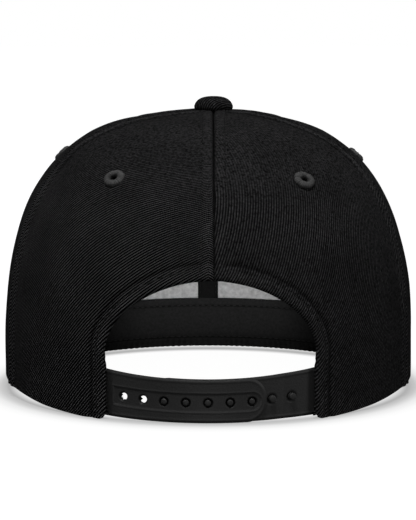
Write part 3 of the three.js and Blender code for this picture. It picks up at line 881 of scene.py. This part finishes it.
def make_eyelet(zone, side):
    sign = SIDES[side]
    deselect()
    crest, thick = EYELET_CREST * MM, EYELET_THICK * MM
    bpy.ops.mesh.primitive_torus_add(major_segments=180, minor_segments=16, major_radius=crest, minor_radius=thick)
    ring = bpy.context.object
    ring.name = ring.data.name = f"eyelet_ring_{zone}_{side}"
    points = corners(ring) / MM
    turn = np.arctan2(points[:, 1], points[:, 0])
    reach = np.hypot(points[:, 0], points[:, 1]) - EYELET_CREST
    seed = len(made)
    uneven = 0.06 * np.sin(3 * turn + seed) + 0.05 * np.sin(7 * turn + 2 * seed) + 0.04 * np.sin(13 * turn)
    ridge = 1 + uneven + 0.09 * np.abs(np.sin(16 * turn + 0.9 * np.sin(4 * turn + seed)))
    reach = EYELET_CREST + reach * ridge
    points = np.stack([1.16 * reach * np.cos(turn), reach * np.sin(turn), points[:, 2] * ridge * 0.85], axis=-1)
    move_corners(ring, points * MM)
    # Painted highlight and shade: the crest of each thread is painted lighter, the ring a little darker overall and
    # darker still towards the hole.
    strand_highlight = 0.75 * np.abs(np.sin(16 * turn + 0.9 * np.sin(4 * turn + seed)))
    mark(ring, "shade", -0.45 + strand_highlight - 0.5 * np.clip((EYELET_CREST - 0.7 - reach) / 0.5, 0, 1))
    deselect()
    bpy.ops.mesh.primitive_cylinder_add(vertices=32, radius=1.4 * MM, depth=3.6 * MM, end_fill_type="NOTHING", location=(0, 0, -1.8 * MM))
    barrel = bpy.context.object
    bpy.ops.object.transform_apply(location=True)
    apply(barrel, "SOLIDIFY", thickness=0.5 * MM, offset=1)
    # The barrel inside the hole is painted near black, a painted shade in the hole.
    mark(barrel, "shade", -0.97)
    pick(ring)
    barrel.select_set(True)
    bpy.ops.object.join()
    angle, height = EYELETS[zone]
    place = on_crown(sign * angle, profile_at(height), 0.35)
    stand(ring, place, outward(sign * angle, profile_at(height)))
    smooth(ring, 60)
    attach(ring, "root")
    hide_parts(f"eyelet_{zone}_{side}")
    made[ring.name] = ring
    return ring


eyelets = [make_eyelet(zone, side) for side in SIDES for zone in ZONES]
print("eyelets:", len(eyelets), "of", triangles(eyelets[0]), "triangles")

# %% [markdown]
# The top button is a metal dome covered with a disc of twill whose edge is gathered underneath. A sphere
# is squashed into the dome, and folds are drawn in towards its lower edge.

# %% Make the top button
deselect()
bpy.ops.mesh.primitive_uv_sphere_add(segments=128, ring_count=64, radius=1)
button = bpy.context.object
button.name = button.data.name = "button_cover"
points = corners(button)
turn = np.arctan2(points[:, 1], points[:, 0])
climb = np.arcsin(np.clip(points[:, 2], -1, 1))
upper = points[:, 2] >= 0
reach = np.where(upper, 8.25 * np.abs(np.cos(climb)) ** 0.75, 8.25 * np.abs(np.cos(climb)) ** 0.5)
height = np.where(upper, 1.3 + 4.5 * np.sin(climb), 1.3 + 2.6 * np.sin(climb))
mark(button, "nap", 0.45)
# A little darker all over, with painted shade on the lower half that turns under the dome.
mark(button, "shade", -0.1 - 0.5 * np.clip(-np.sin(climb), 0, 1))
gather = np.clip(1 - (height + 0.4) / 3.4, 0, 1) * np.clip(reach / 7, 0, 1)
folds = 0.26 * np.sin(13 * turn + 2.6 * np.sin(2 * turn)) + 0.14 * np.sin(27 * turn + 1.3)
reach = reach * (1 + 0.02 * np.sin(3 * turn)) + gather * folds
points = np.stack([reach * np.cos(turn), reach * np.sin(turn), height + 0.1 * gather * np.sin(17 * turn)], axis=-1)
seat = np.array([button_centre.x, button_centre.y, button_low.z / MM + 0.0])
crown_top = CROWN_HEIGHT - 0.55
points[:, 2] += crown_top
points[:, :2] += seat[:2]
move_corners(button, points * MM)
over = np.interp(climb, [-1.6, 0, 0.4, 0.9, 1.6], [13.0, 9.6, 7.6, 4.4, 0.0])
set_uv(button, over * np.cos(turn) + 40, over * np.sin(turn) + 40)
smooth(button, 80)
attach(button, "root")
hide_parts("top_button")
made["button"] = button
print("button:", triangles(button), "triangles, top at", round(float(points[:, 2].max()), 2))

# %% [markdown]
# Every seam is held by a visible row of thread. One stitch is modelled, a short plump capsule, and copied
# along each row, so a row of hundreds stays light. A row is a line of points with the surface's normals.

# %% One stitch, and rows of it
deselect()
bpy.ops.mesh.primitive_uv_sphere_add(segments=6, ring_count=5, radius=1, location=(0, 0, 0))
stitch = bpy.context.object
stitch_shape = corners(stitch)[:, [2, 0, 1]] * np.array([1.15, 0.24, 0.2])
stitch_shape[:, 2] -= 0.12 * (stitch_shape[:, 0] / 1.15) ** 2
stitch_faces = [tuple(face.vertices) for face in stitch.data.polygons]
bpy.data.objects.remove(stitch)


def place_row(line, lift, pitch=STITCH_PITCH, slant=0.0):
    """Stitches along a line given as points and normals in millimetres."""
    points, normals = line
    run = np.concatenate([[0], np.cumsum(np.linalg.norm(np.diff(points, axis=0), axis=1))])
    spots = np.arange(pitch / 2, run[-1], pitch)

    def at(values, where):
        return np.stack([np.interp(where, run, values[:, k]) for k in range(3)], axis=-1)

    centre, normal = at(points, spots), at(normals, spots)
    ahead = at(points, spots + 0.5) - at(points, spots - 0.5)
    normal /= np.linalg.norm(normal, axis=1, keepdims=True)
    ahead /= np.linalg.norm(ahead, axis=1, keepdims=True)
    beside = np.cross(normal, ahead)
    ahead, beside = ahead + slant * beside, beside - slant * ahead
    shape = stitch_shape[None, :, :]
    body = ahead[:, None] * shape[..., :1] + beside[:, None] * shape[..., 1:2] + normal[:, None] * shape[..., 2:]
    return centre[:, None] + normal[:, None] * lift + body


def sew(name, rows):
    stitches = np.concatenate(rows)
    faces = [tuple(v + k * stitches.shape[1] for v in face) for k in range(len(stitches)) for face in stitch_faces]
    mesh = bpy.data.meshes.new(name)
    mesh.from_pydata((stitches.reshape(-1, 3) * MM).tolist(), [], faces)
    piece = bpy.data.objects.new(name, mesh)
    bpy.context.scene.collection.objects.link(piece)
    pick(piece)
    bpy.ops.object.mode_set(mode="EDIT")
    bpy.ops.mesh.select_all(action="SELECT")
    bpy.ops.mesh.normals_make_consistent(inside=False)
    bpy.ops.object.mode_set(mode="OBJECT")
    bpy.ops.object.shade_smooth()
    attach(piece, "root")
    made[name] = piece
    return piece


print("a stitch has", len(stitch_faces), "faces")


# %% Sew the crown and the arch
def crown_angles(points):
    """Angle and profile angle of the crown's surface nearest in height and direction to each point."""
    profile = profile_at(np.clip(points[:, 2], 0, CROWN_HEIGHT - 0.01))
    level = np.clip(points[:, 2], 0, CROWN_HEIGHT - 0.01) / CROWN_HEIGHT
    across = (1 - level**SIDE_FULLNESS) ** (1 / TOP_ROUNDNESS)
    fullness = np.where(points[:, 1] >= CROWN_Y, BACK_FULLNESS, FRONT_FULLNESS)
    along = (1 - level**fullness) ** (1 / TOP_ROUNDNESS)
    east = (points[:, 0] + SEAM_DRIFT * (1 - across)) / (HALF_WIDTH * across)
    return np.degrees(np.arctan2(east, (points[:, 1] - CROWN_Y) / (REACH * along))), profile


def seam_row(seam, offset, foot):
    top = profile_at(CROWN_HEIGHT - 1.2)
    profile = profile_of(np.linspace(rise_of(profile_at(foot)), rise_of(top), 700))
    angle = seam + offset / per_degree(seam, profile)
    return on_crown(angle, profile), outward(angle, profile)


seam_rows = []
for seam in (SIDE_SEAM, FRONT_SEAM, 180.0, -FRONT_SEAM, -SIDE_SEAM, BACK_SEAM):
    foot = ARCH_TOP + 6.5 if seam == BACK_SEAM else float(rim_height(seam)) + 1.5
    for offset in (-SEAM_ROW, SEAM_ROW):
        seam_rows.append(place_row(seam_row(seam, offset, foot), 0.02))
crown_thread = sew("thread_crown", seam_rows)

arch_rows = []
for sign in (1, -1):
    edge = skin(*arch_line(sign))
    normal = outward(*arch_line(sign))
    ahead = np.gradient(edge, axis=0)
    aside = np.cross(normal, ahead)
    aside /= np.linalg.norm(aside, axis=1, keepdims=True)
    if (aside[0] * np.array([0, 0, 1])).sum() < 0:
        aside = -aside
    angle, profile = crown_angles(edge + aside * HEM_ROW)
    keep = slice(6, -8)
    arch_rows.append(place_row((on_crown(angle[keep], profile[keep]), outward(angle[keep], profile[keep])), 0.3))
arch_thread = sew("thread_arch", arch_rows)
print("stitches on crown and arch:", sum(map(len, seam_rows)), sum(map(len, arch_rows)))

# %% Sew the brim, the sweatband and the tapes
edge = brim_edge(np.linspace(-1, 1, 900))
ahead = np.gradient(edge, axis=0)
inward = np.stack([-ahead[:, 1], ahead[:, 0]], axis=-1)
inward /= np.linalg.norm(inward, axis=1, keepdims=True)
if inward[450, 1] < 0:
    inward = -inward
brim_rows = []
for offset in BRIM_ROWS:
    place = edge + inward * offset
    turn = np.arctan2(place[:, 0], -(place[:, 1] - CROWN_Y))
    clear = np.hypot(place[:, 0] / HALF_WIDTH, (place[:, 1] - CROWN_Y) / REACH) > 1.02
    clear &= np.abs(place[:, 0]) < BRIM_HALF_WIDTH - offset + 0.5
    if clear.sum() < 40:
        continue
    place = place[clear]
    top = under_brim(place[:, 0], place[:, 1]) + BRIM_THICK - 0.35
    line = np.concatenate([place, top[:, None]], axis=-1), np.tile([0.0, 0.0, 1.0], (len(place), 1))
    brim_rows.append(place_row(line, 0.1))
brim_thread = sew("thread_brim", brim_rows)

inside_rows = []
band_turn = np.linspace(band_start + 1, 359 - band_start, 1600)
band_side = np.minimum(band_turn, 360 - band_turn)
on_board = np.clip((band_side - BRIM_END + 12) / 18, 0, 1)
on_board = on_board**2 * (3 - 2 * on_board)
root = skin(band_side, 0 * band_side)
band_foot = (rim_height(band_side) + 0.5) * (1 - on_board) + under_brim(root[:, 0], root[:, 1]) * on_board
band_foot = band_foot - BAND_DROP * on_board
for rise, depth in ((BAND_ROW, 5.6), (BAND_HEIGHT - BAND_FOLD, 6.0)):
    lean = min(max((rise - BAND_FOOT) / (BAND_LEAN - BAND_FOOT), 0), 1)
    profile = profile_at(band_foot + rise)
    depth = 2.1 + 2.6 * lean + BAND_WALL * 0.35 + 0.9
    inside_rows.append(place_row((on_crown(band_turn, profile, -depth), -outward(band_turn, profile)), 0.05))
band_thread = sew("thread_band", inside_rows)

tape_rows = []
for name, (seam, span, depth, foot) in TAPES.items():
    for offset in (-3.9, 3.9):
        profile = profile_of(np.linspace(rise_of(profile_at(foot + 1)), rise_of(profile_at(CROWN_HEIGHT - 2.5)), 500))
        angle = seam + offset / per_degree(seam, profile)
        line = on_crown(angle, profile, -depth - 0.75), -outward(angle, profile)
        tape_rows.append(place_row(line, 0.02))
tape_thread = sew("thread_tapes", tape_rows)
threads = [crown_thread, arch_thread, brim_thread, band_thread, tape_thread]
print("threads:", {piece.name: triangles(piece) for piece in threads})

# %% [markdown]
# Finishes. Shader maths is easier to read as formulas than as boxes and wires, so a small class wraps a
# socket and turns each operator into its node.

# %% Shader maths as expressions
class Value:
    def __init__(self, tree, socket):
        self.tree, self.socket = tree, socket

    def add(self, kind, settings=None, inputs=None, output=0):
        node = self.tree.nodes.new(kind)
        for key, setting in (settings or {}).items():
            if key == "stops":
                ramp = node.color_ramp
                while len(ramp.elements) < len(setting):
                    ramp.elements.new(0.5)
                for element, (place, tone) in zip(ramp.elements, setting):
                    element.position, element.color = place, (tone, tone, tone, 1)
            else:
                setattr(node, key, setting)
        for key, given in (inputs or {}).items():
            if isinstance(given, Value):
                self.tree.links.new(given.socket, node.inputs[key])
            else:
                node.inputs[key].default_value = given
        return Value(self.tree, node.outputs[output])

    def math(self, operation, *others):
        return self.add("ShaderNodeMath", {"operation": operation}, dict(enumerate((self, *others))))

    def __add__(self, other):
        return self.math("ADD", other)

    __radd__ = __add__

    def __sub__(self, other):
        return self.math("SUBTRACT", other)

    def __rsub__(self, other):
        return (self * -1) + other

    def __mul__(self, other):
        return self.math("MULTIPLY", other)

    __rmul__ = __mul__

    def __truediv__(self, other):
        return self.math("DIVIDE", other)

    def __mod__(self, other):
        return self.math("FLOORED_MODULO", other)

    def __pow__(self, other):
        return self.math("POWER", other)


def new_finish(name):
    material = bpy.data.materials.new(name)
    material.use_nodes = True
    shader = material.node_tree.nodes["Principled BSDF"]
    start = Value(material.node_tree, None)
    return material, shader, start


def feed(material, shader, **values):
    for key, given in values.items():
        socket = shader.inputs[key.replace("_", " ")]
        if isinstance(given, Value):
            material.node_tree.links.new(given.socket, socket)
        else:
            socket.default_value = given


print("shader helper ready")

# %% [markdown]
# The cap is woven in a heavy black twill: each warp thread passes over two threads of the weft and under
# the third, and each neighbour is one step later, so ribs run up to the right. The pattern is worked out
# from the UV map, which is in millimetres of cloth.

# %% Twill
WARP_PITCH, WEFT_PITCH = 0.501, 0.538


def twill_finish(name, rib_tone, groove_tone, depth, steep=1.0):
    material, shader, start = new_finish(name)
    uv = start.add("ShaderNodeUVMap")
    parts = start.add("ShaderNodeSeparateXYZ", inputs={0: uv})
    x, y = Value(start.tree, parts.socket.node.outputs[0]), Value(start.tree, parts.socket.node.outputs[1])
    place = start.add("ShaderNodeTexCoord", output=3)
    u, v = (x - 0.5) * (UV_SPAN / WARP_PITCH), y * (UV_SPAN / WEFT_PITCH) * steep
    wobble = start.add("ShaderNodeTexNoise", inputs={"Vector": place, "Scale": 300.0, "Detail": 1.0})
    u, v = u + wobble * 1.2, v + wobble * 1.1
    warp = u.math("FLOOR")
    phase = (v - warp * 0.35 - u * 0.65) % 3
    across = (u - warp) * 2 - 1
    yarn = 1 - across * across
    rib = ((phase * (2 * math.pi / 3) - math.pi).math("COSINE") + 1) * 0.5
    nap = start.add("ShaderNodeAttribute", {"attribute_name": "nap"}, output=2)
    height = (rib * 0.86 + yarn * 0.14) * (1 - nap) + nap * 0.6
    grain = start.add("ShaderNodeTexNoise", inputs={"Vector": place, "Scale": 2400.0, "Detail": 2.0})
    patch = start.add("ShaderNodeTexNoise", inputs={"Vector": place, "Scale": 60.0, "Detail": 3.0})
    shade = start.add("ShaderNodeAttribute", {"attribute_name": "shade"}, output=2)
    speck = start.add("ShaderNodeTexNoise", inputs={"Vector": place, "Scale": 950.0, "Detail": 2.0})
    mottle = ((speck - 0.5) * (nap * 3.4 + 1.3) + (grain - 0.5) * 0.8 + 1).math("MAXIMUM", 0.08)
    # The colour follows the rib's height: light on the crests and near black in the grooves, a painted highlight and
    # shade of the weave that goes with its bump. Random patches and mottle vary it, and each piece's painted shade and
    # highlight darkens or lightens it.
    light = height.math("POWER", 3.0) * mottle * (patch * 0.8 + 0.6) * (shade + 1)
    tone = groove_tone + light * (rib_tone - groove_tone)
    colour = start.add("ShaderNodeCombineColor", inputs={0: tone, 1: tone * 0.99, 2: tone * 1.02})
    bump = start.add("ShaderNodeBump", inputs={"Height": height + grain * 0.3, "Distance": depth * MM, "Strength": 0.9})
    feed(material, shader, Base_Color=colour, Roughness=0.9, Normal=bump, Specular_IOR_Level=0.03)
    return material


twill = twill_finish("black_twill", 0.125, 0.001, 0.5)
for piece in [*panels, board, button]:
    piece.data.materials.clear()
    piece.data.materials.append(twill)
print("twill on", len(panels) + 2, "pieces")

# %% Thread, tape, band and lining
def plain_finish(name, tone, roughness, specular=0.3, noise_scale=900.0):
    material, shader, start = new_finish(name)
    place = start.add("ShaderNodeTexCoord", output=3)
    grain = start.add("ShaderNodeTexNoise", inputs={"Vector": place, "Scale": noise_scale, "Detail": 2.0})
    shade = start.add("ShaderNodeAttribute", {"attribute_name": "shade"}, output=2)
    value = (grain * 0.8 + 0.6) * (shade + 1) * tone
    colour = start.add("ShaderNodeCombineColor", inputs={0: value, 1: value, 2: value})
    bump = start.add("ShaderNodeBump", inputs={"Height": grain, "Distance": 0.1 * MM, "Strength": 0.7})
    feed(material, shader, Base_Color=colour, Roughness=roughness, Normal=bump, Specular_IOR_Level=specular)
    return material


finishes = {
    "thread": plain_finish("black_thread", 0.03, 0.7, 0.2),
    "eyelet": plain_finish("eyelet_thread", 0.1, 0.6, 0.3),
    "tape": plain_finish("black_tape", 0.015, 0.85, 0.02),
    "band": plain_finish("sweatband_black", 0.03, 0.85, 0.03),
    "buckram": plain_finish("grey_buckram", 0.8, 0.9, 0.1, noise_scale=500.0),
    "plastic": plain_finish("black_plastic", 0.045, 0.5, 0.5, noise_scale=1500.0),
}
for key, pieces in {"thread": threads, "eyelet": eyelets, "tape": tapes, "band": [sweatband], "buckram": linings, "plastic": [pierced, pegged]}.items():
    for piece in pieces:
        piece.data.materials.clear()
        piece.data.materials.append(finishes[key])
print("finishes:", list(finishes))

# %% [markdown]
# The cap rests by itself on a pale table that glows white, with a painted contact shadow round its rim,
# under soft studio light, and the camera looks at it from behind, a little above the table.

# %% Table, light and camera
deselect()
bpy.ops.mesh.primitive_plane_add(size=16, location=(0, 0, 0))
table = bpy.context.object
table.name = "table"
table_finish, shader, start = new_finish("pale_table")
# The table glows near white all over, inside the cap too, and darkens in a soft ring just outside the rim: a painted
# contact shadow.
GLOW_AND_SHADOW_STOPS = [(0.0, 1.0), (0.455, 0.98), (0.492, 0.42), (0.512, 0.52), (0.535, 0.75), (0.565, 0.88), (0.62, 0.96), (0.72, 1.0)]
place = start.add("ShaderNodeTexCoord", output=3)
parts = start.add("ShaderNodeSeparateXYZ", inputs={0: place}).socket.node.outputs
across, along = (Value(start.tree, parts[k]) for k in (0, 1))
across, along = across / (HALF_WIDTH * MM), (along - CROWN_Y * MM) / (REACH * MM)
reach = (across * across + along * along).math("SQRT")
glow_and_painted_shadow = start.add("ShaderNodeValToRGB", {"stops": GLOW_AND_SHADOW_STOPS}, {0: reach * 0.5})
feed(table_finish, shader, Base_Color=(0.2, 0.2, 0.2, 1), Roughness=0.95, Specular_IOR_Level=0.1, Emission_Color=glow_and_painted_shadow)
shader.inputs["Emission Strength"].default_value = 1.0
table.data.materials.append(table_finish)
table.visible_diffuse = table.visible_glossy = False

world = bpy.context.scene.world or bpy.data.worlds.new("studio")
bpy.context.scene.world = world
world.use_nodes = True
sky = world.node_tree.nodes["Background"]
sky.inputs["Color"].default_value = (1, 1, 1, 1)
seen = Value(world.node_tree, None).add("ShaderNodeLightPath")
world.node_tree.links.new((seen * 0.965 + 0.035).socket, sky.inputs["Strength"])

TARGET = Vector((0, CROWN_Y * MM, 0.0544))


def softbox(name, place, size, power):
    lamp = bpy.data.lights.new(name, "AREA")
    lamp.shape, lamp.size, lamp.energy = "DISK", size, power
    piece = bpy.data.objects.new(name, lamp)
    bpy.context.scene.collection.objects.link(piece)
    piece.location = place
    piece.visible_camera = False
    piece.rotation_euler = (TARGET - Vector(place)).to_track_quat("-Z", "Y").to_euler()
    return piece


softbox("key", (0.1, 0.57, 1.62), 0.6, 10.8)
softbox("left_fill", (1.6, 0.9, 0.5), 0.8, 1.6)
softbox("right_fill", (-1.6, 0.9, 0.5), 0.8, 3.4)
softbox("low_front", (0.0, 2.0, 0.16), 0.3, 1.6)
inner_fill = softbox("through_the_arch", (0.0, 1.99, 0.16), 0.3, 14)
inside = bpy.data.collections.new("inside_of_the_cap")
for piece in [*linings, *tapes, sweatband, band_thread]:
    inside.objects.link(piece)
inner_fill.light_linking.receiver_collection = inside
ELEVATION = math.radians(6.4)
camera_data = bpy.data.cameras.new("camera")
camera = bpy.data.objects.new("camera", camera_data)
bpy.context.scene.collection.objects.link(camera)
camera.location = TARGET + Vector((0, math.cos(ELEVATION), math.sin(ELEVATION)))
camera.rotation_euler = (TARGET - camera.location).to_track_quat("-Z", "Y").to_euler()
camera_data.lens, camera_data.sensor_width = 157.7, 36
camera_data.clip_start = 0.01
bpy.context.scene.camera = camera
bpy.context.scene.view_settings.view_transform = "Standard"
print("camera at", [round(c, 3) for c in camera.location])
